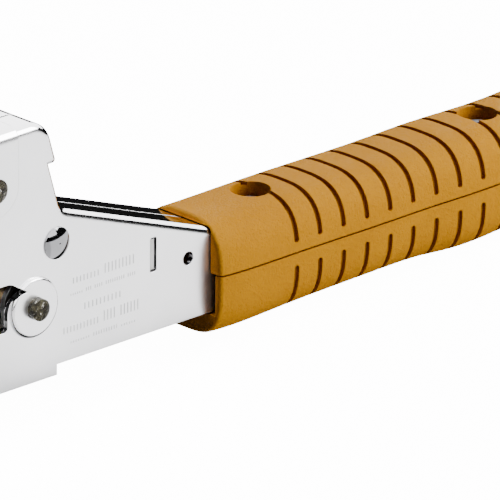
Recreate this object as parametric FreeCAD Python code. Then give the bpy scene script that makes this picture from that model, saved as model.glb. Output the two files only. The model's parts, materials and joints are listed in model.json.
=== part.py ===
import FreeCAD, Part
import math
import os

# Hammer tacker. All lengths are in millimetres and all angles in degrees.
# Every piece is drawn with the tool struck shut, in the housing's drawing frame: X runs from the head
# towards the grip, Z is up, and X = Z = 0 is the head's rear bottom corner. The finished pieces are then
# set down at rest, with the nose swung out of the head and the tool standing on its nose and its butt.

Vector = FreeCAD.Vector
os.makedirs("parts", exist_ok=True)

# ---------------------------------------------------------------- driving dimensions
HOUSING_WIDTH = 22.0
SHEET = 1.5
BEND_RADIUS = 2.5
SEAM_GAP = 0.8
HEAD_HEIGHT = 75.5
HEAD_FRONT = -116.0
FRONT_EDGE_LIFT = 4.0
REAR_LEAN = 17.0
NECK_BOTTOM = 3.1
NECK_CORNER = (2.25, 48.1)
NECK_SLOPE = 0.359
REAR_STEP_HEIGHT = 61.8
REAR_STEP_DEPTH = 2.9
TANG_TOP = 21.0

PIVOT = (-9.0, 22.3)
PIVOT_DIAMETER = 6.3
PIVOT_LENGTH = 30.0
PIVOT_CLEARANCE = 0.05
BOSS_RADIUS = 8.7
BOSS_HEIGHT = 1.2
SWING = 8.0
REST_TILT = 1.65

DRIVE_RADIUS = 97.5
BLADE_THICKNESS = 1.2
BLADE_WIDTH = 10.6
EXIT_DROP = 22.5

CHANNEL_WIDTH = 13.4
CHANNEL_TOP = 17.0
CHANNEL_SHEET = 1.0
CHANNEL_FRONT = -99.0
CHANNEL_REAR = -1.0
RAIL_WIDTH = 8.4
RAIL_TOP = 12.8
ROD_DIAMETER = 3.0
ROD_HEIGHT = 7.3

STOP_PIN_RADIUS_FROM_PIVOT = 78.0
STOP_PIN_DIAMETER = 5.0
SPRING_X = -69.0
SPRING_SEAT_HEIGHT = 60.0

STRAP_CENTRE = (-23.5, 60.2)
STRAP_WIDTH = 15.7
STRAP_SHEET = 1.2
NECK_RIVET = (-0.3, 38.9)
SLOT_CENTRE = (36.4, 25.8)
SLOT_SIZE = (2.5, 10.1)
TETHER_HOLE = (49.7, 21.2)
TETHER_DIAMETER = 3.9

GRIP_START = 57.8
GRIP_END = 206.0
GRIP_HALF_WIDTH = 16.2
GRIP_TOP = 29.7
GRIP_BOTTOM = -3.0
GRIP_PARTING = 14.7
GRIP_SQUARENESS = (2.95, 3.3)
GRIP_JOINT = 0.5
GROOVE_PITCH = 9.0
GROOVE_FIRST = 86.3
GROOVES_STOP = 14.0
GROOVE_WIDTH = 1.7
GROOVE_DEPTH = 1.0
GROOVE_ENDS = (3.9, -4.6)
COUNTERBORE_DIAMETER = 11.5
COUNTERBORE_FLOOR = 24.0

SCREW_X = (GRIP_START + 26.0, GRIP_END - 34.2)
TANG_END = GRIP_END - 24.0
HALF = HOUSING_WIDTH / 2
INSIDE = HALF - SHEET
BLADE_INNER = DRIVE_RADIUS - BLADE_THICKNESS / 2
BLADE_OUTER = DRIVE_RADIUS + BLADE_THICKNESS / 2
EXIT = (PIVOT[0] - math.sqrt(DRIVE_RADIUS ** 2 - EXIT_DROP ** 2), PIVOT[1] - EXIT_DROP)
STOP_PIN = (PIVOT[0] - STOP_PIN_RADIUS_FROM_PIVOT, PIVOT[1])
DRIVER_RIVETS = ((-88.0, 52.0), (-88.0, 65.0))
BLADE_SCREW_HEIGHTS = (28.0, 40.0)
BUSHING_RADIUS = PIVOT_DIAMETER / 2 + 1.15
RAIL_FLOOR = EXIT[1]
RAIL_REAR = -11.3
NOSE_FRONT = EXIT[0] - 8.5
NOSE_RIVETS = ((-110.3, 6.5), (-110.3, 17.5), (-101.5, 19.5))


# ---------------------------------------------------------------- drawing helpers
def corner(before, here, after, radius):
    """The tangent points and middle point of the arc that rounds one corner of an outline."""
    a = (before - here).normalize()
    b = (after - here).normalize()
    half = a.getAngle(b) / 2
    reach = radius / math.tan(half)
    middle = (a + b).normalize()
    centre = here + middle * (radius / math.sin(half))
    return here + a * reach, centre - middle * radius, here + b * reach


def outline(points):
    """A closed wire in the XZ plane through (x, z, corner radius) points."""
    at = [Vector(x, 0, z) for x, z, r in points]
    n = len(points)
    starts = []
    ends = []
    arcs = []
    for i in range(n):
        radius = points[i][2]
        if radius > 0:
            p, q, r = corner(at[i - 1], at[i], at[(i + 1) % n], radius)
            arcs.append(Part.Arc(p, q, r).toShape())
            starts.append(p)
            ends.append(r)
        else:
            arcs.append(None)
            starts.append(at[i])
            ends.append(at[i])
    edges = []
    for i in range(n):
        if arcs[i]:
            edges.append(arcs[i])
        following = starts[(i + 1) % n]
        if ends[i].distanceToPoint(following) > 1e-6:
            edges.append(Part.makeLine(ends[i], following))
    return Part.Wire(Part.__sortEdges__(edges))


def plate(points, y_from, y_to):
    """An outline given thickness along Y."""
    face = Part.Face(outline(points))
    face.translate(Vector(0, y_from, 0))
    return face.extrude(Vector(0, y_to - y_from, 0))


def inset(points, depth):
    """The same anticlockwise outline, moved in by depth, with its corners kept concentric."""
    n = len(points)
    moved = []
    for i in range(n):
        x0, z0, r0 = points[i - 1]
        x1, z1, radius = points[i]
        x2, z2, r2 = points[(i + 1) % n]
        first = math.hypot(x1 - x0, z1 - z0)
        second = math.hypot(x2 - x1, z2 - z1)
        ax, az = (x1 - x0) / first, (z1 - z0) / first
        bx, bz = (x2 - x1) / second, (z2 - z1) / second
        turn = ax * bz - az * bx
        along = depth * (1 - (ax * bx + az * bz)) / turn
        x = x1 - az * depth - ax * along
        z = z1 + ax * depth - az * along
        rounded = 0 if radius == 0 else max(radius - math.copysign(depth, turn), 0.4)
        moved.append((x, z, rounded))
    return moved


def box(x0, x1, y0, y1, z0, z1):
    return Part.makeBox(x1 - x0, y1 - y0, z1 - z0, Vector(x0, y0, z0))


def bar(x, z, radius, y_from, y_to):
    """A round bar along Y."""
    return Part.makeCylinder(radius, y_to - y_from, Vector(x, y_from, z), Vector(0, 1, 0))


def post(x, y, radius, z_from, z_to):
    """A round bar along Z."""
    return Part.makeCylinder(radius, z_to - z_from, Vector(x, y, z_from), Vector(0, 0, 1))


def dome(x, z, y, side, radius, rise, edge=0.3):
    """A low domed head that stands out from the plane y on the given side (+1 or -1)."""
    profile = [
        Part.makeLine(Vector(0, 0, 0), Vector(radius, 0, 0)),
        Part.makeLine(Vector(radius, 0, 0), Vector(radius, edge, 0)),
    ]
    ball = (radius ** 2 + (rise - edge) ** 2) / (2 * (rise - edge))
    half = math.asin(radius / ball) / 2
    shoulder = Vector(ball * math.sin(half), rise - ball * (1 - math.cos(half)), 0)
    profile.append(Part.Arc(Vector(radius, edge, 0), shoulder, Vector(0, rise, 0)).toShape())
    profile.append(Part.makeLine(Vector(0, rise, 0), Vector(0, 0, 0)))
    head = Part.Face(Part.Wire(profile)).revolve(Vector(0, 0, 0), Vector(0, 1, 0), 360)
    if side < 0:
        head.rotate(Vector(0, 0, 0), Vector(0, 0, 1), 180)
    head.translate(Vector(x, y, z))
    return head


def headed_pin(x, z, radius, face, head_radius, rise):
    """A pin across the housing with a domed head on the plane |y| = face at each side."""
    shape = bar(x, z, radius, -face, face)
    shape = shape.fuse(dome(x, z, face, 1, head_radius, rise))
    return shape.fuse(dome(x, z, -face, -1, head_radius, rise)).removeSplitter()


def sector(inner, outer, y_half, z_from, z_to):
    """A plate curved about the pivot, in front of it, between two heights above the pivot."""
    ring = bar(PIVOT[0], PIVOT[1], outer, -y_half, y_half)
    ring = ring.cut(bar(PIVOT[0], PIVOT[1], inner, -y_half - 1, y_half + 1))
    keep = box(PIVOT[0] - outer - 5, PIVOT[0] - 20, -60, 60, PIVOT[1] + z_from, PIVOT[1] + z_to)
    return ring.common(keep)


def fuse_all(shapes):
    return shapes[0].multiFuse(shapes[1:]).removeSplitter()


def coil(mean_radius, wire, length, turns):
    """A helical spring that starts at the origin and runs along Z."""
    rise = length - wire
    path = Part.makeHelix(rise / turns, rise, mean_radius)
    ring = Part.Wire(Part.Circle(Vector(mean_radius, 0, 0), Vector(0, 1, 0), wire / 2).toShape())
    shape = Part.Wire(path).makePipeShell([ring], True, True)
    shape.translate(Vector(0, 0, wire / 2))
    return shape


def rounded(shape, radius, chosen):
    edges = [e for e in shape.Edges if chosen(e.BoundBox)]
    return shape.makeFillet(radius, edges)


# ---------------------------------------------------------------- setting down at rest
PIVOT_POINT = Vector(PIVOT[0], 0, PIVOT[1])
DOWN = Vector(0, 1, 0)


def seat(shape, angle):
    """Turns a drawn piece about the pivot, then moves the staple's exit point to the origin."""
    turned = shape.copy()
    turned.rotate(PIVOT_POINT, DOWN, angle)
    mouth = Part.Vertex(EXIT[0], 0, EXIT[1])
    mouth.rotate(PIVOT_POINT, DOWN, REST_TILT - SWING)
    turned.translate(mouth.Point * -1)
    return turned


def on_housing(shape):
    return seat(shape, REST_TILT)


def on_magazine(shape):
    return seat(shape, REST_TILT - SWING)


def save(name, shape):
    solids = shape.Solids
    whole = solids[0] if len(solids) == 1 else Part.makeCompound(solids)
    whole.exportStep("parts/" + name + ".step")


# ---------------------------------------------------------------- pressed housing
def neck_top(x):
    return NECK_CORNER[1] - NECK_SLOPE * (x - NECK_CORNER[0])


def skin_outline(bottom):
    """The housing's side outline; bottom lowers its underside, to leave the pressing open below."""
    lean = math.tan(math.radians(REAR_LEAN))
    tang_start = NECK_CORNER[0] + (NECK_CORNER[1] - TANG_TOP) / NECK_SLOPE
    rear_top = NECK_CORNER[0] - (HEAD_HEIGHT - NECK_CORNER[1]) * lean
    top = [
        (TANG_END, TANG_TOP, 4),
        (tang_start, TANG_TOP, 25),
        (NECK_CORNER[0], NECK_CORNER[1], 4),
        (rear_top, HEAD_HEIGHT, 6),
        (HEAD_FRONT + 14, HEAD_HEIGHT, 14),
        (HEAD_FRONT, HEAD_HEIGHT - 20, 12),
    ]
    if bottom:
        return [(HEAD_FRONT, bottom, 0), (TANG_END, bottom, 0)] + top
    underside = [
        (HEAD_FRONT, FRONT_EDGE_LIFT, 0),
        (-62, FRONT_EDGE_LIFT, 14),
        (-44, 0, 14),
        (0, 0, 0),
        (0, NECK_BOTTOM, 0),
        (TANG_END, NECK_BOTTOM, 0),
    ]
    return underside + top


def rear_cap_outline():
    """The upper rear corner of the head, which stands proud of the flange below it."""
    lean = math.tan(math.radians(REAR_LEAN))
    foot = NECK_CORNER[0] - (REAR_STEP_HEIGHT - NECK_CORNER[1]) * lean + REAR_STEP_DEPTH
    top = foot - (HEAD_HEIGHT - REAR_STEP_HEIGHT) * lean
    return [
        (-40, REAR_STEP_HEIGHT, 0),
        (foot, REAR_STEP_HEIGHT, 0.8),
        (top, HEAD_HEIGHT, 8),
        (-40, HEAD_HEIGHT, 0),
    ]


def pressing(points, half_width, radius, floor, front):
    """A solid with every bend along its top and ends rounded."""
    def bend(edge_box):
        flat = edge_box.YLength < 1e-6
        low = edge_box.ZMax < floor
        cut_face = edge_box.XMax < front
        return flat and not low and not cut_face

    return rounded(plate(points, -half_width, half_width), radius, bend)


def window_outline():
    return [
        (-52, 17.5, 4),
        (-18.6, 17.5, 1.2),
        (-18.6, 27.8, 5.9),
        (-12.0, 27.8, 0.15),
        (-17.5, 31.2, 5),
        (-52, 31.2, 4),
    ]


def shells():
    low = NECK_BOTTOM + 1.5
    body = pressing(skin_outline(None), HALF, BEND_RADIUS, low, -200)
    cap = pressing(rear_cap_outline(), HALF, BEND_RADIUS, REAR_STEP_HEIGHT + 0.1, -39)
    hollow = pressing(inset(skin_outline(-20), SHEET), INSIDE, BEND_RADIUS - SHEET, low - 30, -200)
    cap_hollow = inset(rear_cap_outline(), SHEET)
    cap_hollow = pressing(cap_hollow, INSIDE, BEND_RADIUS - SHEET, REAR_STEP_HEIGHT + SHEET + 0.1, -37)
    whole = body.fuse(cap)
    for side in (-1, 1):
        boss = bar(PIVOT[0], PIVOT[1], BOSS_RADIUS, HALF - 0.5, HALF + BOSS_HEIGHT)
        boss = rounded(boss, 0.9, lambda b: b.YLength < 1e-6 and b.YMin > HALF)
        if side < 0:
            boss.rotate(PIVOT_POINT, Vector(0, 0, 1), 180)
        whole = whole.fuse(boss)
    openings = [
        hollow,
        cap_hollow,
        plate(window_outline(), -30, 30),
        bar(PIVOT[0], PIVOT[1], PIVOT_DIAMETER / 2, -30, 30),
        bar(NECK_RIVET[0], NECK_RIVET[1], 2.5, -30, 30),
        bar(STRAP_CENTRE[0], STRAP_CENTRE[1], 2.0, -30, 30),
        bar(TETHER_HOLE[0], TETHER_HOLE[1], TETHER_DIAMETER / 2, -30, 30),
        plate(slot_outline(SLOT_SIZE[0], SLOT_SIZE[1], 0.6), -30, 30),
        box(-130, GRIP_END, -SEAM_GAP / 2, SEAM_GAP / 2, -40, HEAD_HEIGHT + 20),
    ]
    openings += [bar(x, z, 2.5, -30, 30) for x, z in DRIVER_RIVETS]
    openings.append(bar(STOP_PIN[0], STOP_PIN[1], STOP_PIN_DIAMETER / 2, -30, 30))
    openings += [post(x, 0, 2.6, 10, 40) for x in SCREW_X]
    whole = whole.cut(openings)
    left = whole.common(box(-130, GRIP_END, -30, 0, -40, HEAD_HEIGHT + 20))
    right = whole.common(box(-130, GRIP_END, 0, 30, -40, HEAD_HEIGHT + 20))
    return left, right


def slot_outline(width, height, radius):
    x, z = SLOT_CENTRE
    w, h = width / 2, height / 2
    return [(x - w, z - h, radius), (x + w, z - h, radius), (x + w, z + h, radius), (x - w, z + h, radius)]




def saddle_strap():
    """A band over the top of the head, with a round-ended ear down each side."""
    def band(half_width, top, radius):
        block = box(-60, 0, -half_width, half_width, 0, top)
        return rounded(block, radius, lambda b: b.ZMin > top - 1 and b.XLength > 10)

    x, z = STRAP_CENTRE
    half = STRAP_WIDTH / 2
    outer = band(HALF + STRAP_SHEET, HEAD_HEIGHT + STRAP_SHEET, BEND_RADIUS + STRAP_SHEET)
    sheet = outer.cut(band(HALF, HEAD_HEIGHT, BEND_RADIUS))
    side = box(x - half, x + half, -40, 40, z, HEAD_HEIGHT + 20).fuse(bar(x, z, half, -40, 40))
    return sheet.common(side).cut(bar(x, z, 2.0, -40, 40)).removeSplitter()


def pivot_pin():
    radius = PIVOT_DIAMETER / 2
    return headed_pin(PIVOT[0], PIVOT[1], radius, PIVOT_LENGTH / 2 - 1, radius, 1.0)


def driver_block():
    """The steel mass that fills the front of the head and carries the blade."""
    block = plate([(-110, 44, 0), (-79, 44, 3), (-79, 71, 3), (-110, 71, 0)], -INSIDE, INSIDE)
    block = block.common(bar(PIVOT[0], PIVOT[1], BLADE_INNER, -40, 40))
    holes = [bar(x, z, 2.5, -40, 40) for x, z in DRIVER_RIVETS]
    return block.cut(holes + [screw_shank(h, 2.0) for h in BLADE_SCREW_HEIGHTS])


def radial(height):
    """A point on the blade's outer face at a height above the pivot, and the outward direction there."""
    angle = math.asin(height / BLADE_OUTER)
    outward = Vector(-math.cos(angle), 0, math.sin(angle))
    return PIVOT_POINT + outward * BLADE_OUTER, outward


def driver_blade():
    blade = sector(BLADE_INNER, BLADE_OUTER, BLADE_WIDTH / 2, 0.3 - EXIT_DROP, 46)
    return blade.cut([screw_shank(h, 2.0) for h in BLADE_SCREW_HEIGHTS])


def screw_shank(height, radius):
    face, outward = radial(height)
    return Part.makeCylinder(radius, 9, face + outward, outward * -1)


def blade_screws():
    """Two slotted screws, drawn along Z and then turned to stand square to the curved blade."""
    head = rounded(post(0, 0, 3.4, 0, 2.2), 0.6, lambda b: b.ZMin > 2)
    screw = head.fuse(post(0, 0, 2.0, -7, 0)).cut(box(-5, 5, -0.4, 0.4, 1.2, 3))
    screws = []
    for height in BLADE_SCREW_HEIGHTS:
        face, outward = radial(height)
        turned = screw.copy()
        turned.Placement = FreeCAD.Placement(face, FreeCAD.Rotation(Vector(0, 0, 1), outward))
        screws.append(turned)
    return Part.makeCompound(screws)


def bumper():
    x0, x1 = -48.0, -22.0
    pad = box(x0, x1, -8, 8, CHANNEL_TOP + 0.8, 31.5)
    pad = rounded(pad, 2.0, lambda b: b.ZMax < 31 and b.ZLength < 1e-6)
    ribs = [box(x, x + 1.6, -9, 9, 10, 20.5) for x in (-42.5, -36.3, -30.1)]
    return pad.cut(ribs)


def bumper_plate():
    return box(-50, -20, -INSIDE, INSIDE, 31.5, 33)


def spring_seat():
    sheet = box(-79, -59, -INSIDE, INSIDE, SPRING_SEAT_HEIGHT, SPRING_SEAT_HEIGHT + 2)
    return sheet.fuse(post(SPRING_X, 0, 4.2, SPRING_SEAT_HEIGHT - 4, SPRING_SEAT_HEIGHT)).removeSplitter()


def spring_cup():
    cup = post(SPRING_X, 0, 6.6, CHANNEL_TOP, CHANNEL_TOP + 1.5)
    cup = cup.fuse(post(SPRING_X, 0, 4.0, CHANNEL_TOP + 1.5, CHANNEL_TOP + 5))
    return rounded(cup, 0.8, lambda b: b.ZMin > CHANNEL_TOP + 4.5)


def return_spring():
    """Drawn at rest between the cup on the swung magazine and the seat in the head."""
    foot = Part.Vertex(SPRING_X, 0, CHANNEL_TOP + 1.5)
    foot.rotate(PIVOT_POINT, DOWN, -SWING)
    bottom = foot.Z + 1.1
    shape = coil(5.6, 1.7, SPRING_SEAT_HEIGHT - 0.1 - bottom, 8)
    shape.translate(Vector(SPRING_X + 0.4, 0, bottom))
    return shape


def neck_brace():
    x, z = SLOT_CENTRE
    low, high = z - SLOT_SIZE[1] / 2, z + SLOT_SIZE[1] / 2
    web = box(x - 1, x + 1, -INSIDE, INSIDE, low + 0.1, high)
    tabs = box(x - 0.75, x + 0.75, 0.5 - HALF, HALF - 0.5, low + 0.6, high - 0.6)
    return web.fuse(tabs).removeSplitter()


def neck_spacer():
    x, z = NECK_RIVET
    return bar(x, z, 4.5, -INSIDE, INSIDE).cut(bar(x, z, 2.5, -40, 40))


# ---------------------------------------------------------------- grip
# where each section stands, how much wider than the plain grip it is, and how much deeper
GRIP_STATIONS = (
    (GRIP_START, -0.7, 1.5),
    (GRIP_START + 8, 0.1, 1.6),
    (GRIP_START + 22, 0.2, 1.1),
    (GRIP_START + 47, 0.2, 0.2),
    (GRIP_START * 0.45 + GRIP_END * 0.55, 0.1, 0.0),
    (GRIP_END - 31, 0.0, 0.0),
    (GRIP_END - 14, 0.5, 0.7),
    (GRIP_END - 6, 1.1, 1.8),
    (GRIP_END, 1.3, 2.2),
)


def grip_section(x, wider, deeper, depth):
    """A crowned section, squarer below than above. Depth sets it in from the surface."""
    a = GRIP_HALF_WIDTH + wider - depth
    top = GRIP_TOP + abs(wider) * 0.6 - depth
    bottom = GRIP_BOTTOM - deeper + depth
    b, middle = (top - bottom) / 2, (top + bottom) / 2
    points = []
    for i in range(24):
        t = math.pi * i / 12
        c, s = math.cos(t), math.sin(t)
        n = GRIP_SQUARENESS[0 if s > 0 else 1]
        reach = (abs(c / a) ** n + abs(s / b) ** n) ** (-1 / n)
        points.append(Vector(x, reach * c, middle + reach * s))
    curve = Part.BSplineCurve()
    curve.interpolate(points, PeriodicFlag=True)
    return Part.Wire(curve.toShape())


def grip_form(depth):
    return Part.makeLoft([grip_section(x, w, d, depth) for x, w, d in GRIP_STATIONS], True, False)


def grip_grooves():
    """Ribs of cutter that reach GROOVE_DEPTH into the grip, over the top and under the bottom."""
    slabs = []
    count = int((GRIP_END - GROOVES_STOP - GROOVE_FIRST) / GROOVE_PITCH) + 1
    for i in range(count):
        x = GROOVE_FIRST + i * GROOVE_PITCH
        half = GROOVE_WIDTH / 2
        high, low = GRIP_PARTING + GROOVE_ENDS[0], GRIP_PARTING + GROOVE_ENDS[1]
        upper = box(x - half, x + half, -30, 30, high, 60)
        lower = box(x - half, x + half, -30, 30, -40, low)
        slabs.append(upper.fuse(bar(x, high, half, -30, 30)).removeSplitter())
        slabs.append(lower.fuse(bar(x, low, half, -30, 30)).removeSplitter())
    return Part.makeCompound(slabs).cut(grip_form(GROOVE_DEPTH))


def grip_halves():
    form = grip_form(0)
    form = rounded(form, 1.2, lambda b: b.XMax < GRIP_START + 0.1)
    form = rounded(form, 7.0, lambda b: b.XMin > GRIP_END - 0.1)
    form = form.cut(grip_grooves())
    tang = box(GRIP_START - 1, TANG_END + 1, -HALF - 0.1, HALF + 0.1, NECK_BOTTOM - 0.1, TANG_TOP + 0.3)
    reach = GRIP_START + 24
    mouth = plate([
        (GRIP_START - 1, NECK_BOTTOM - 0.3, 0),
        (reach, NECK_BOTTOM - 0.3, 0),
        (reach, neck_top(reach) + 0.8, 0),
        (GRIP_START - 1, neck_top(GRIP_START - 1) + 0.2, 0),
    ], -HALF - 0.5, HALF + 0.5)
    mouth = rounded(mouth, BEND_RADIUS, lambda b: b.ZMin > TANG_TOP - 2 and b.YLength < 1e-6)
    wide_mouth = box(GRIP_START - 1, GRIP_START + 9, -HALF - 2.4, HALF + 2.4, NECK_BOTTOM - 0.6, GRIP_PARTING)
    form = form.cut([tang, mouth, wide_mouth])
    joint = GRIP_JOINT / 2
    upper = form.common(box(0, 300, -40, 40, GRIP_PARTING + joint, 60))
    lower = form.common(box(0, 300, -40, 40, -40, GRIP_PARTING - joint))
    lower = lower.fuse([post(x, 0, 4.5, NECK_BOTTOM - 1, 12) for x in SCREW_X])
    lower = lower.cut([post(x, 0, 2.0, 0, 20) for x in SCREW_X])
    bores = [post(x, 0, COUNTERBORE_DIAMETER / 2, COUNTERBORE_FLOOR, 50) for x in SCREW_X]
    upper = upper.cut(bores + [post(x, 0, 2.3, 10, 50) for x in SCREW_X])
    return upper, lower


def grip_screws():
    screws = []
    for x in SCREW_X:
        head = post(x, 0, 4.0, COUNTERBORE_FLOOR, COUNTERBORE_FLOOR + 2.6)
        head = rounded(head, 1.1, lambda b: b.ZMin > COUNTERBORE_FLOOR + 2)
        screw = head.fuse(post(x, 0, 2.0, 1, COUNTERBORE_FLOOR))
        for turn in (0, 90):
            slot = box(x - 2.3, x + 2.3, -0.45, 0.45, COUNTERBORE_FLOOR + 1.2, COUNTERBORE_FLOOR + 4)
            slot.rotate(Vector(x, 0, 0), Vector(0, 0, 1), turn)
            screw = screw.cut(slot)
        screws.append(screw)
    return Part.makeCompound(screws)


# ---------------------------------------------------------------- magazine
def magazine_channel():
    half = CHANNEL_WIDTH / 2
    outer = box(CHANNEL_FRONT, CHANNEL_REAR, -half, half, RAIL_FLOOR + 1.2, CHANNEL_TOP)
    outer = rounded(outer, 1.4, lambda b: b.ZMin > CHANNEL_TOP - 0.1 and b.XLength > 20)
    side = half - CHANNEL_SHEET
    inner = box(CHANNEL_FRONT - 1, CHANNEL_REAR + 1, -side, side, -10, CHANNEL_TOP - CHANNEL_SHEET)
    return outer.cut(inner)


def staple_rail():
    """A hat section: the core that the staples straddle, and the flanges that close the channel."""
    half, out = RAIL_WIDTH / 2, CHANNEL_WIDTH / 2
    core = box(-106, RAIL_REAR, -half, half, RAIL_FLOOR + 0.2, RAIL_TOP)
    core = core.cut(box(-110, 0, 1 - half, half - 1, -10, RAIL_TOP - 1))
    core = core.cut(box(-98, 0, -1.5, 1.5, 5, 20))
    core = core.common(bar(PIVOT[0], PIVOT[1], BLADE_INNER - 0.4, -20, 20))
    flanges = [
        box(CHANNEL_FRONT, RAIL_REAR, half - 1, out, RAIL_FLOOR, RAIL_FLOOR + 1.2),
        box(CHANNEL_FRONT, RAIL_REAR, -out, 1 - half, RAIL_FLOOR, RAIL_FLOOR + 1.2),
    ]
    return core.fuse(flanges).removeSplitter()


def nose_block():
    """The anvil end of the magazine, with the curved slot that the blade runs down."""
    half = CHANNEL_WIDTH / 2
    block = plate([
        (NOSE_FRONT, -6, 0),
        (CHANNEL_FRONT, -6, 0),
        (CHANNEL_FRONT, 24.5, 2),
        (NOSE_FRONT, 24.5, 5),
    ], -half, half)
    slot = sector(BLADE_INNER - 0.2, BLADE_OUTER + 0.2, BLADE_WIDTH / 2 + 0.2, -40, 20)
    entry = box(-108, CHANNEL_FRONT + 1, -CHANNEL_WIDTH / 2 + 1, CHANNEL_WIDTH / 2 - 1, -10, 14.6)
    entry = entry.common(bar(PIVOT[0], PIVOT[1], BLADE_INNER, -20, 20))
    block = block.cut([slot, entry] + [bar(x, z, 1.2, -20, 20) for x, z in NOSE_RIVETS])
    return on_magazine(block).cut(Part.makeBox(60, 40, 40, Vector(-30, -20, -40)))


def guide_bracket():
    """Two ears with curved slots that ride on the stop pin, joined over the channel."""
    half = CHANNEL_WIDTH / 2
    ear = plate([
        (-111, 4, 1.5),
        (-79, 4, 1.5),
        (-79, 39, 4),
        (-94, 39, 4),
        (-97, 23, 3),
        (-111, 23, 2),
    ], half, half + 1.5)
    other = ear.mirror(Vector(0, 0, 0), Vector(0, 1, 0))
    web = box(-93, -79, -half - 1.5, half + 1.5, CHANNEL_TOP, CHANNEL_TOP + 1.2)
    bracket = fuse_all([ear, other, web])
    middle = STOP_PIN_RADIUS_FROM_PIVOT
    reach = STOP_PIN_DIAMETER / 2 + 0.15
    rise = middle * math.sin(math.radians(SWING + 0.15))
    ring = bar(PIVOT[0], PIVOT[1], middle + reach, -20, 20)
    ring = ring.cut(bar(PIVOT[0], PIVOT[1], middle - reach, -21, 21))
    slot = [ring.common(box(-110, -60, -20, 20, PIVOT[1], PIVOT[1] + rise))]
    for angle in (-0.15, SWING + 0.15):
        end = Part.Vertex(STOP_PIN[0], 0, STOP_PIN[1])
        end.rotate(PIVOT_POINT, DOWN, angle)
        slot.append(bar(end.X, end.Z, reach, -20, 20))
    return bracket.cut(slot + [bar(x, z, 1.2, -20, 20) for x, z in NOSE_RIVETS])


def nose_rivets():
    half = CHANNEL_WIDTH / 2 + 1.5
    return Part.makeCompound([headed_pin(x, z, 1.2, half, 2.1, 0.7) for x, z in NOSE_RIVETS])


def pivot_bracket():
    half = CHANNEL_WIDTH / 2
    base = box(-20, -1.5, -half, half, CHANNEL_TOP, CHANNEL_TOP + 1.2)
    ears = []
    for y in (-half, half - 1.5):
        ear = box(-16, -2, y, y + 1.5, CHANNEL_TOP, PIVOT[1])
        ears.append(ear.fuse(bar(PIVOT[0], PIVOT[1], 7.0, y, y + 1.5)))
    below = box(-30, 10, -20, 20, 0, CHANNEL_TOP)
    return fuse_all([base] + ears).cut([below, bar(PIVOT[0], PIVOT[1], BUSHING_RADIUS, -20, 20)])


def pivot_bushing():
    reach = INSIDE - 0.2
    tube = bar(PIVOT[0], PIVOT[1], BUSHING_RADIUS, -reach, reach)
    return tube.cut(bar(PIVOT[0], PIVOT[1], PIVOT_DIAMETER / 2 + PIVOT_CLEARANCE, -20, 20))


def end_plug():
    """Closes the magazine's rear and gives the thumb a tab to draw the rod out by."""
    body = box(-11, CHANNEL_REAR, -5.5, 5.5, 2.0, 12.8)
    tab = box(CHANNEL_REAR, 4.5, -7.5, 7.5, 4.0, 12.8)
    tab = rounded(tab, 1.2, lambda b: b.XMin > 4.4 or (b.ZMax < 4.1 and b.XLength < 0.1 and b.XMin > 4))
    plug = fuse_all([body, tab])
    return plug.cut(Part.makeCylinder(ROD_DIAMETER / 2, 7, Vector(-12, 0, ROD_HEIGHT), Vector(1, 0, 0)))


def guide_rod():
    rod = Part.makeCylinder(ROD_DIAMETER / 2, 89, Vector(-94, 0, ROD_HEIGHT), Vector(1, 0, 0))
    return rounded(rod, 0.6, lambda b: b.XMax < -93.9)


def pusher():
    half = RAIL_WIDTH / 2
    cap = box(-101.5, -84, -half - 1.2, half + 1.2, 3.4, RAIL_TOP + 1.2)
    cap = rounded(cap, 0.8, lambda b: b.ZMin > RAIL_TOP + 1 and b.XLength > 5)
    cap = cap.cut(box(-110, -80, -half - 0.2, half + 0.2, 0, RAIL_TOP + 0.2))
    web = box(-97, -88, -1.2, 1.2, 8, RAIL_TOP + 0.8)
    shoe = box(-97, -88, -2.9, 2.9, 4.3, 10.5)
    carriage = fuse_all([cap, web, shoe])
    hole = ROD_DIAMETER / 2 + 0.05
    return carriage.cut(Part.makeCylinder(hole, 30, Vector(-105, 0, ROD_HEIGHT), Vector(1, 0, 0)))


def pusher_spring():
    shape = coil(ROD_DIAMETER / 2 + 0.75, 0.6, 76.4, 26)
    shape.rotate(Vector(0, 0, 0), Vector(0, 1, 0), 90)
    shape.translate(Vector(-87.8, 0, ROD_HEIGHT))
    return shape


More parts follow.
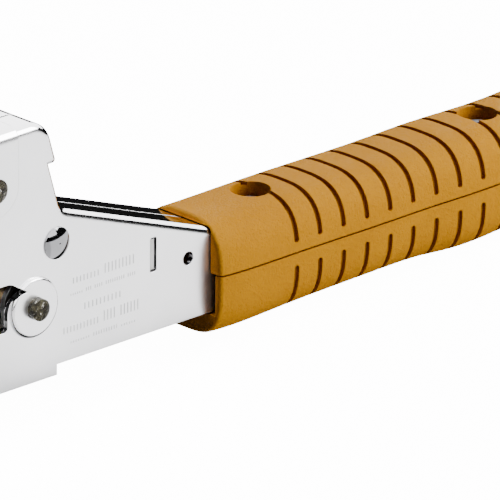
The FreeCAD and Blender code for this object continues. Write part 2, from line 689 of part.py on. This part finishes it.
# ---------------------------------------------------------------- the whole tool
def build():
    left, right = shells()
    upper, lower = grip_halves()
    on_frame = {
        "left_shell": left,
        "right_shell": right,
        "saddle_strap": saddle_strap(),
        "saddle_rivet": headed_pin(STRAP_CENTRE[0], STRAP_CENTRE[1], 2.0, HALF + STRAP_SHEET, 3.5, 1.0),
        "neck_rivet": headed_pin(NECK_RIVET[0], NECK_RIVET[1], 2.5, HALF, 4.65, 1.5),
        "neck_spacer": neck_spacer(),
        "pivot_pin": pivot_pin(),
        "driver_block": driver_block(),
        "driver_rivets": Part.makeCompound([headed_pin(x, z, 2.5, HALF, 4.0, 1.3) for x, z in DRIVER_RIVETS]),
        "driver_blade": driver_blade(),
        "blade_screws": blade_screws(),
        "bumper": bumper(),
        "bumper_plate": bumper_plate(),
        "spring_seat": spring_seat(),
        "return_spring": return_spring(),
        "stop_pin": headed_pin(STOP_PIN[0], STOP_PIN[1], STOP_PIN_DIAMETER / 2, HALF, 3.8, 1.1),
        "neck_brace": neck_brace(),
        "grip_upper": upper,
        "grip_screws": grip_screws(),
    }
    on_swing = {
        "magazine_channel": magazine_channel(),
        "staple_rail": staple_rail(),
        "guide_bracket": guide_bracket(),
        "nose_rivets": nose_rivets(),
        "pivot_bracket": pivot_bracket(),
        "pivot_bushing": pivot_bushing(),
        "spring_cup": spring_cup(),
        "end_plug": end_plug(),
        "guide_rod": guide_rod(),
        "pusher": pusher(),
        "pusher_spring": pusher_spring(),
    }
    for name, shape in on_frame.items():
        save(name, on_housing(shape))
    for name, shape in on_swing.items():
        save(name, on_magazine(shape))
    save("nose_block", nose_block())
    floor = Part.makeBox(400, 80, 40, Vector(0, -40, -40))
    save("grip_lower", on_housing(lower).cut(floor))


build()
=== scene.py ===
import bpy
import json
import math
from mathutils import Matrix, Vector


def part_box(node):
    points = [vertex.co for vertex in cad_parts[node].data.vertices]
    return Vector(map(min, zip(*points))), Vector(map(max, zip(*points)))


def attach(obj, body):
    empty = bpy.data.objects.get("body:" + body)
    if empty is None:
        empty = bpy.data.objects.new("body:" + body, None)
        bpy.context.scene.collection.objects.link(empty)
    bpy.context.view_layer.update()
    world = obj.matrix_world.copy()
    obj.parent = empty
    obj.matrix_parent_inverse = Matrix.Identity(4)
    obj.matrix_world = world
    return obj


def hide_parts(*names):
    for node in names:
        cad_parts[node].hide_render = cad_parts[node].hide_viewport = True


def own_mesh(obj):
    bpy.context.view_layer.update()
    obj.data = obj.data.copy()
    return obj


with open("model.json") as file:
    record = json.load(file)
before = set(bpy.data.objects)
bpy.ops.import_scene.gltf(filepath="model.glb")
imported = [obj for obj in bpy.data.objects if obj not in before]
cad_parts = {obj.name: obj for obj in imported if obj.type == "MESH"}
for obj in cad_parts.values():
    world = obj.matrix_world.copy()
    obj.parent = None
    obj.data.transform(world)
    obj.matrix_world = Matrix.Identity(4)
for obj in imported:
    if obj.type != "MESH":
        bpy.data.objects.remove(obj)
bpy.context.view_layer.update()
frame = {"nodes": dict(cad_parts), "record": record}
nodes = frame["nodes"]

# A hammer tacker in metres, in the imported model's own frame: X runs from the nose to the butt of the grip.


# ---------------------------------------------------------------- camera
CAMERA_AIM = Vector((0.174224, -0.010721, 0.02552))
PICTURE_RIGHT = Vector((0.72156, -0.69217, -0.01574))
TOWARDS_CAMERA = Vector((-0.63687, -0.67248, 0.37704))
CAMERA_DISTANCE = 6.0
PICTURE_WIDTH = 0.1383
SENSOR_WIDTH = 36
CAMERA_REACH = 50


def place_camera():
    """A very long lens, so that parallel edges stay parallel, looking down on the near side of the neck."""
    back = TOWARDS_CAMERA.normalized()
    up = back.cross(PICTURE_RIGHT.normalized()).normalized()
    right = up.cross(back)
    data = bpy.data.cameras.new("camera")
    data.sensor_width = SENSOR_WIDTH
    data.lens = SENSOR_WIDTH * CAMERA_DISTANCE / PICTURE_WIDTH
    data.clip_end = CAMERA_REACH
    camera = bpy.data.objects.new("camera", data)
    bpy.context.scene.collection.objects.link(camera)
    turn = Matrix((right, up, back)).transposed().to_4x4()
    camera.matrix_world = Matrix.Translation(CAMERA_AIM + back * CAMERA_DISTANCE) @ turn
    bpy.context.scene.camera = camera


place_camera()


# ---------------------------------------------------------------- materials
METAL_CREVICE = 0.012
PLASTIC_GROOVE = 0.007


def grey(value):
    return (value, value, value, 1)


class Nodes:
    """A short way to write a material's node tree."""

    def __init__(self, name):
        self.material = bpy.data.materials.new(name)
        self.material.use_nodes = True
        self.tree = self.material.node_tree
        self.shader = self.tree.nodes["Principled BSDF"]
        self.place = self.add("ShaderNodeTexCoord").outputs["Object"]

    def add(self, kind, **sockets):
        node = self.tree.nodes.new(kind)
        for key, value in sockets.items():
            self.put(node.inputs[key.replace("_", " ")], value)
        return node

    def put(self, socket, value):
        """A value is linked if it is another node's output, and set if it is a number or colour."""
        if isinstance(value, bpy.types.NodeSocket):
            self.tree.links.new(value, socket)
        else:
            socket.default_value = value

    def set(self, **sockets):
        for key, value in sockets.items():
            self.put(self.shader.inputs[key.replace("_", " ")], value)

    def noise(self, scale, detail=4.0, rough=0.55, stretch=(1, 1, 1)):
        """Scale is in features a metre."""
        mapping = self.add("ShaderNodeMapping", Vector=self.place, Scale=stretch)
        node = self.add("ShaderNodeTexNoise", Vector=mapping.outputs[0], Scale=scale, Detail=detail)
        self.put(node.inputs["Roughness"], rough)
        return node.outputs["Fac"]

    def ramp(self, value, low, high, at_low, at_high):
        node = self.add("ShaderNodeMapRange", Value=value, From_Min=low, From_Max=high)
        node.inputs["To Min"].default_value = at_low
        node.inputs["To Max"].default_value = at_high
        return node.outputs[0]

    def mix(self, factor, first, second):
        node = self.add("ShaderNodeMix")
        node.data_type = "RGBA"
        colours = {socket.name: socket for socket in node.inputs if socket.type == "RGBA"}
        self.put(node.inputs["Factor"], factor)
        self.put(colours["A"], first)
        self.put(colours["B"], second)
        return [socket for socket in node.outputs if socket.type == "RGBA"][0]

    def bump(self, height, strength, distance, edge=0.0):
        """Relief, over corners that are rounded by edge."""
        node = self.add("ShaderNodeBump", Height=height, Strength=strength, Distance=distance)
        if edge:
            soft = self.add("ShaderNodeBevel", Radius=edge)
            soft.samples = 4
            self.put(node.inputs["Normal"], soft.outputs[0])
        self.put(self.shader.inputs["Normal"], node.outputs[0])

    def openness(self, reach):
        """0 deep in a groove or mouth, 1 out in the open: the mask for painted shade."""
        node = self.add("ShaderNodeAmbientOcclusion", Distance=reach)
        node.samples = 6
        return node.outputs["AO"]

    def facing(self, axis):
        geometry = self.add("ShaderNodeNewGeometry")
        return self.add("ShaderNodeSeparateXYZ", Vector=geometry.outputs["Normal"]).outputs[axis]

    def maths(self, operation, first, second=0.0):
        node = self.add("ShaderNodeMath")
        node.operation = operation
        self.put(node.inputs[0], first)
        self.put(node.inputs[1], second)
        return node.outputs[0]


def polished_steel(name, satin, bright=0.78):
    """Nickel plate: satin flat sides and burnished folds, with polishing lines and handling marks, and
    painted shade near black in crevices and recesses.
    """
    m = Nodes(name)
    haze = m.noise(28, detail=6, rough=0.6)
    polishing_lines = m.noise(500, detail=3, rough=0.6, stretch=(0.06, 1, 1))
    handling_marks = m.noise(160, detail=8, rough=0.75)
    fresh = (bright, bright, bright + 0.01, 1)
    clouded = (bright * 0.9, bright * 0.9, bright * 0.92, 1)
    marked = (0.5, 0.5, 0.51, 1)
    tint = m.mix(m.ramp(haze, 0.3, 0.75, 0, 1), fresh, clouded)
    clean = m.mix(m.ramp(handling_marks, 0.68, 0.82, 0, 0.25), tint, marked)
    # Painted shade: where the ambient occlusion finds the metal closed in, in crevices and inside the
    # housing, the base colour is painted near black.
    m.set(Base_Color=m.mix(m.ramp(m.openness(METAL_CREVICE), 0.08, 0.35, 0, 1), grey(0.03), clean))
    burnished = 0.05
    side_on = m.maths("ABSOLUTE", m.facing("Y"))
    flat_or_fold = m.ramp(side_on, 0.88, 0.98, burnished, satin)
    m.set(Metallic=1.0, Roughness=m.maths("MULTIPLY", flat_or_fold, m.ramp(haze, 0.3, 0.75, 0.92, 1.1)))
    m.bump(polishing_lines, strength=0.015, distance=0.0001, edge=0.0003)
    return m.material


def steel(name, colour, dark, roughness, grain):
    """Duller metal, clouded with oil and oxide, with painted shade near black in its crevices and recesses.
    """
    m = Nodes(name)
    cloud = m.noise(120, detail=5, rough=0.6)
    clean = m.mix(m.ramp(cloud, 0.35, 0.7, 0, 1), colour, dark)
    # Painted shade: the base colour goes near black where the ambient occlusion finds the metal closed in.
    crevice_shade = (0.012, 0.011, 0.01, 1)
    m.set(Base_Color=m.mix(m.ramp(m.openness(METAL_CREVICE), 0.08, 0.4, 0, 1), crevice_shade, clean))
    m.set(Metallic=1.0, Roughness=m.ramp(cloud, 0.3, 0.7, roughness, roughness + 0.15))
    m.bump(m.noise(grain, detail=3, rough=0.6), strength=0.25, distance=0.0002, edge=0.0002)
    return m.material


def peened_steel():
    """Hammered pin ends: dark and oily, with bright burrs where the metal was struck."""
    m = Nodes("dark_steel")
    lumps = m.noise(900, detail=4, rough=0.7)
    thick_oil, thin_oil, burr = (0.012, 0.011, 0.008, 1), (0.055, 0.05, 0.03, 1), (0.55, 0.53, 0.47, 1)
    oil = m.mix(m.ramp(m.noise(500, detail=4, rough=0.6), 0.4, 0.65, 0, 1), thick_oil, thin_oil)
    m.set(Base_Color=m.mix(m.ramp(lumps, 0.60, 0.70, 0, 1), oil, burr))
    m.set(Metallic=1.0, Roughness=m.ramp(lumps, 0.3, 0.7, 0.2, 0.35))
    m.bump(lumps, strength=1.0, distance=0.0006)
    return m.material


def rubber():
    m = Nodes("black_rubber")
    cloud = m.noise(60, detail=5, rough=0.6)
    m.set(Base_Color=m.mix(m.ramp(cloud, 0.3, 0.7, 0, 1), grey(0.012), grey(0.022)))
    m.set(Roughness=m.ramp(cloud, 0.3, 0.7, 0.5, 0.65))
    m.bump(m.noise(1500, detail=2, rough=0.5), strength=0.3, distance=0.0001)
    return m.material


def moulded_plastic():
    """Amber plastic with a fine moulded grain, with painted shade: brown to near black in its grooves,
    counterbores and mouth, and dark brown on the end that faces the head.
    """
    m = Nodes("amber_plastic")
    cloud = m.noise(45, detail=5, rough=0.6)
    speck = m.noise(1600, detail=3, rough=0.7)
    amber, deep_amber, grain_brown = (0.68, 0.292, 0.003, 1), (0.62, 0.255, 0.002, 1), (0.42, 0.155, 0.002, 1)
    # Painted shade: a dark brown for the end that faces the head, and brown to near black for the grooves,
    # counterbores and mouth.
    end_face_shade = (0.17, 0.062, 0.002, 1)
    groove_floor_shade, groove_wall_shade = (0.03, 0.01, 0.001, 1), (0.36, 0.115, 0.001, 1)
    tint = m.mix(m.ramp(cloud, 0.3, 0.7, 0, 1), amber, deep_amber)
    grained = m.mix(m.ramp(speck, 0.55, 0.72, 0, 0.6), tint, grain_brown)
    # Painted shade on the surfaces that face the head.
    shaded_outside = m.mix(m.ramp(m.facing("X"), -0.95, -0.55, 0, 1), end_face_shade, grained)
    # Painted shade from the ambient occlusion, deepest on the groove floors.
    open_air = m.openness(PLASTIC_GROOVE)
    groove = m.mix(m.ramp(open_air, 0.03, 0.3, 0, 1), groove_floor_shade, groove_wall_shade)
    m.set(Base_Color=m.mix(m.ramp(open_air, 0.25, 0.85, 0, 1), groove, shaded_outside))
    m.set(Roughness=m.ramp(cloud, 0.3, 0.7, 0.38, 0.48))
    m.shader.inputs["Specular IOR Level"].default_value = 0.02
    m.bump(speck, strength=0.8, distance=0.00035, edge=0.0006)
    return m.material


looks = {
    "polished_steel": polished_steel("polished_steel", satin=0.30),
    # Painted shade: the rivet takes a darker copy of the polished steel, which stands in for dark reflections
    # on its dome.
    "rivet": polished_steel("rivet_shaded_steel", satin=0.08, bright=0.22),
    "stamped": steel("stamped_steel", (0.50, 0.50, 0.51, 1), (0.38, 0.38, 0.39, 1), roughness=0.3, grain=900),
    "plated_steel": steel("plated_steel", grey(0.42), (0.28, 0.28, 0.27, 1), roughness=0.28, grain=900),
    "hardened_steel": steel("hardened_steel", grey(0.20), grey(0.10), roughness=0.26, grain=1200),
    "dark_steel": peened_steel(),
    "bronze": steel("bronze", (0.22, 0.15, 0.08, 1), (0.12, 0.08, 0.04, 1), roughness=0.35, grain=900),
    "black_rubber": rubber(),
    "amber_plastic": moulded_plastic(),
}


def dress_cad_nodes():
    """Each CAD node takes the look of its material slot, but the neck rivet has a look of its own, a darker
    copy of the polished steel with painted shade.
    """
    slots = {part["node"]: part["material_slot"] for part in frame["record"]["subparts"]}
    for name, obj in nodes.items():
        obj.data.materials.clear()
        obj.data.materials.append(looks["rivet" if name == "neck_rivet" else slots[name]])
        for polygon in obj.data.polygons:
            polygon.use_smooth = True


dress_cad_nodes()


# ---------------------------------------------------------------- where drawn things stand
PIVOT = (-0.009, 0.0223)
PIVOT_PLACE = (0.0917978, 0.0328546)
FRAME_TILT = math.radians(1.65)
MAGAZINE_TILT = math.radians(-6.35)


def standing(x, y, z, tilt=FRAME_TILT):
    """From the tool's own drawing, square to its head, to where the part stands at rest."""
    dx, dz = x - PIVOT[0], z - PIVOT[1]
    c, s = math.cos(tilt), math.sin(tilt)
    return Vector((PIVOT_PLACE[0] + dx * c + dz * s, y, PIVOT_PLACE[1] - dx * s + dz * c))


def mesh_object(name, points, faces, look, smooth=True):
    mesh = bpy.data.meshes.new(name)
    mesh.from_pydata([tuple(p) for p in points], [], faces)
    mesh.materials.append(look)
    for polygon in mesh.polygons:
        polygon.use_smooth = smooth
    obj = bpy.data.objects.new(name, mesh)
    bpy.context.scene.collection.objects.link(obj)
    return obj


# ---------------------------------------------------------------- springs
CLOSED_TURNS = 1


def spring_axis_and_length(low, high, lie):
    """A round bar's own length along lie, from the box that it fills."""
    size = high - low
    axis = Vector(lie).normalized()
    main = 0 if abs(axis.x) > abs(axis.z) else 2
    return axis, (size[main] - size.y * abs(axis[2 - main])) / abs(axis[main])


def coil_spring(node, lie, wire, turns, sides=14, steps=40):
    """Stands for a CAD spring, wound with closed ends, in the box that the CAD spring takes."""
    low, high = (Vector(corner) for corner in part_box(node))
    axis, length = spring_axis_and_length(low, high, lie)
    across = Vector((0, 1, 0))
    third = axis.cross(across)
    start = (low + high) / 2 - axis * (length / 2 - wire / 2)
    radius = (high.y - low.y) / 2 - wire / 2
    rise = length - wire
    pitch = (rise - 2 * CLOSED_TURNS * wire) / (turns - 2 * CLOSED_TURNS)
    count = int(turns * steps)
    points = []
    for i in range(count + 1):
        turn = turns * i / count
        if turn < CLOSED_TURNS:
            along = turn * wire
        elif turn < turns - CLOSED_TURNS:
            along = CLOSED_TURNS * wire + (turn - CLOSED_TURNS) * pitch
        else:
            along = rise - (turns - turn) * wire
        angle = 2 * math.pi * turn
        out = across * math.cos(angle) + third * math.sin(angle)
        middle = start + axis * along + out * radius
        for k in range(sides):
            t = 2 * math.pi * k / sides
            points.append(middle + (out * math.cos(t) + axis * math.sin(t)) * wire / 2)
    faces = [tuple(range(sides - 1, -1, -1)), tuple(count * sides + k for k in range(sides))]
    for i in range(count):
        for k in range(sides):
            n = (k + 1) % sides
            faces.append((i * sides + k, i * sides + n, (i + 1) * sides + n, (i + 1) * sides + k))
    obj = mesh_object(node + "_coils", points, faces, looks["hardened_steel"])
    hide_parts(node)
    return obj, axis, length


def return_spring():
    """Stands under the spring seat, and goes with the housing."""
    lie = (math.sin(FRAME_TILT), 0, math.cos(FRAME_TILT))
    spring, axis, length = coil_spring("return_spring", lie, wire=0.0017, turns=8)
    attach(spring, "housing")
    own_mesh(spring)


def pusher_spring():
    """Lies on the guide rod, and goes with the loader."""
    lie = (math.cos(MAGAZINE_TILT), 0, -math.sin(MAGAZINE_TILT))
    spring, axis, length = coil_spring("pusher_spring", lie, wire=0.0006, turns=26, sides=8, steps=24)
    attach(spring, "loader")
    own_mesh(spring)


return_spring()
pusher_spring()


# ---------------------------------------------------------------- stamped marks
NECK_HALF_WIDTH = 0.011
MARK_SUNK, MARK_PROUD, MARK_TAPER = -0.00002, 0.00006, 0.00008
MARK_WIDTH_SHARE = 0.3
SHORT_MARK = 0.62


def stamped_marks():
    """Plain short bars in rows on the near side of the neck, where such a tool is stamped."""
    rows = [
        # left, right, foot, height, pitch, marks in each group
        (0.0055, 0.0295, 0.0252, 0.0030, 0.0016, (8, 9)),
        (0.0048, 0.0298, 0.0218, 0.0012, 0.0011, (6, 3, 4, 9, 4)),
        (0.0098, 0.0245, 0.0166, 0.0032, 0.0016, (10,)),
        (0.0020, 0.0312, 0.0112, 0.0032, 0.0016, (11, 4, 6)),
        (0.0048, 0.0298, 0.0078, 0.0012, 0.0011, (8, 10, 6)),
    ]
    points = []
    faces = []
    for left, right, foot, height, pitch, groups in rows:
        half = pitch * MARK_WIDTH_SHARE / 2
        step = (right - left) / (sum(groups) + len(groups) - 1)
        place = 0
        for group in groups:
            for member in range(group):
                x = left + (place + 0.5) * step
                is_tall = (place * 7 + member * 3) % 5
                rise = height * (1.0 if is_tall else SHORT_MARK)
                add_mark(points, faces, x, foot, half, rise)
                place += 1
            place += 1
    obj = mesh_object("stamped_marks", points, faces, looks["stamped"], smooth=False)
    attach(obj, "housing")


def add_mark(points, faces, x, foot, half, rise):
    """One closed bar, its foot a hair inside the plate and its top narrower by the taper."""
    n = len(points)
    for depth, trim in ((MARK_SUNK, 0), (MARK_PROUD, MARK_TAPER)):
        for side, is_top in ((-1, False), (1, False), (1, True), (-1, True)):
            z = foot + (rise - trim if is_top else trim)
            points.append(standing(x + side * (half - trim), -NECK_HALF_WIDTH - depth, z))
    faces.append((n + 4, n + 5, n + 6, n + 7))
    faces.append((n + 3, n + 2, n + 1, n))
    for k in range(4):
        m = (k + 1) % 4
        faces.append((n + k, n + m, n + 4 + m, n + 4 + k))


stamped_marks()


# ---------------------------------------------------------------- floor and light
# Each surface of the studio is met by one kind of ray, so the floor can be white to the camera while
# the polished plates mirror tables, bands and flags that give them their tones.
STUDIO_CENTRE = 0.12
FLOOR_LEVEL, BAND_LEVEL, BOUNCE_LEVEL = -0.0002, -0.0003, -0.0004
FLOOR_REACH = 4
WHITE = 14.0
BAND_RADIUS, BAND_HEIGHT = 2.0, 0.33
DOME_RISE = 1.9
NEAR_ZERO = 0.0001


def glowing(name, colour, strength):
    material = bpy.data.materials.new(name)
    material.use_nodes = True
    shader = material.node_tree.nodes["Principled BSDF"]
    shader.inputs["Base Color"].default_value = grey(colour)
    shader.inputs["Roughness"].default_value = 0.9
    shader.inputs["Specular IOR Level"].default_value = 0
    shader.inputs["Emission Color"].default_value = grey(1)
    shader.inputs["Emission Strength"].default_value = strength
    return material


def staged(name, points, faces, colour, strength, seen_by):
    """Part of the studio. seen_by is camera, glossy or diffuse: the one kind of ray that meets it."""
    obj = mesh_object(name, points, faces, glowing(name, colour, strength))
    obj.visible_camera = seen_by == "camera"
    obj.visible_glossy = seen_by == "glossy"
    obj.visible_diffuse = seen_by == "diffuse"
    obj.visible_transmission = False
    obj.visible_shadow = False


def sheet(name, low, high, level, colour, strength, seen_by="glossy"):
    """A level rectangle."""
    (x0, y0), (x1, y1) = low, high
    points = [(x0, y0, level), (x1, y0, level), (x1, y1, level), (x0, y1, level)]
    staged(name, points, [(0, 1, 2, 3)], colour, strength, seen_by)


def flag(name, first, last, height, colour, strength):
    """An upright rectangle on the floor between two places, seen only in polished metal."""
    points = [(*first, 0), (*last, 0), (*last, height), (*first, height)]
    staged(name, points, [(0, 1, 2, 3)], colour, strength, "glossy")


def ring_surface(name, rings, colour, strength):
    """A surface of revolution about the tool through (radius, height) rings, seen only in polished metal."""
    count = 96
    points = []
    faces = []
    for radius, height in rings:
        for i in range(count):
            t = 2 * math.pi * i / count
            points.append((STUDIO_CENTRE + radius * math.cos(t), radius * math.sin(t), height))
    for k in range(len(rings) - 1):
        for i in range(count):
            j = (i + 1) % count
            faces.append((k * count + i, k * count + j, (k + 1) * count + j, (k + 1) * count + i))
    staged(name, points, faces, colour, strength, "glossy")


def dome_rings():
    """From the top of the dark band to the zenith, in steps of 7.5 degrees."""
    angles = [i * math.pi / 24 for i in range(12)]
    rings = [(BAND_RADIUS * math.cos(a), BAND_HEIGHT + DOME_RISE * math.sin(a)) for a in angles]
    return rings + [(NEAR_ZERO, BAND_HEIGHT + DOME_RISE)]


def band_rings():
    """The floor out to the band, and the band's own wall."""
    return [(NEAR_ZERO, BAND_LEVEL), (BAND_RADIUS, BAND_LEVEL), (BAND_RADIUS, BAND_HEIGHT)]


def build_studio():
    corner = (FLOOR_REACH, FLOOR_REACH)
    opposite = (-FLOOR_REACH, -FLOOR_REACH)
    sheet("floor", opposite, corner, FLOOR_LEVEL, 0.8, WHITE, "camera")
    sheet("floor_bounce", opposite, corner, BOUNCE_LEVEL, 0.5, 0.12, "diffuse")
    sheet("near_table", (0.11, -0.50), (0.60, -0.03), FLOOR_LEVEL, 0.8, 2.35)
    sheet("left_table", (-0.50, -0.50), (0.11, -0.03), FLOOR_LEVEL, 0.8, 1.3)
    sheet("far_table", (-0.50, 0.03), (0.22, 0.50), FLOOR_LEVEL, 0.8, 2.35)
    ring_surface("dark_band", band_rings(), 0.01, 0.0)
    flag("dark_flag", (1.0, -1.5), (1.75, -0.2), 0.62, 0.01, 0.0)
    flag("front_flag", (-1.6, -1.3), (-1.6, 1.3), 1.0, 0.5, 0.9)
    ring_surface("bright_dome", dome_rings(), 0.8, 5.5)


def light_world():
    """Soft light from the butt's side. Past the floor, the camera sees a backdrop as white as the floor."""
    world = bpy.data.worlds.new("studio")
    bpy.context.scene.world = world
    world.use_nodes = True
    tree = world.node_tree
    background = tree.nodes["Background"]
    direction = tree.nodes.new("ShaderNodeTexCoord")
    axes = tree.nodes.new("ShaderNodeSeparateXYZ")
    side = tree.nodes.new("ShaderNodeMapRange")
    path = tree.nodes.new("ShaderNodeLightPath")
    strength = tree.nodes.new("ShaderNodeMix")
    for key, number in (("From Min", 0.1), ("From Max", 0.9), ("To Min", 0.02), ("To Max", 1.4)):
        side.inputs[key].default_value = number
    strength.inputs["B"].default_value = WHITE
    background.inputs["Color"].default_value = grey(1)
    for source, target in (
        (direction.outputs["Generated"], axes.inputs["Vector"]),
        (axes.outputs["X"], side.inputs["Value"]),
        (path.outputs["Is Camera Ray"], strength.inputs["Factor"]),
        (side.outputs["Result"], strength.inputs["A"]),
        (strength.outputs["Result"], background.inputs["Strength"]),
    ):
        tree.links.new(source, target)


def area_light(name, place, aim, size, power):
    data = bpy.data.lights.new(name, "AREA")
    data.size = size
    data.energy = power
    lamp = bpy.data.objects.new(name, data)
    bpy.context.scene.collection.objects.link(lamp)
    direction = Vector(aim) - Vector(place)
    lamp.matrix_world = Matrix.Translation(place) @ direction.to_track_quat("-Z", "Y").to_matrix().to_4x4()


build_studio()
light_world()
area_light("key", (1.1, -0.8, 0.85), (0.15, 0, 0.05), size=0.8, power=27)
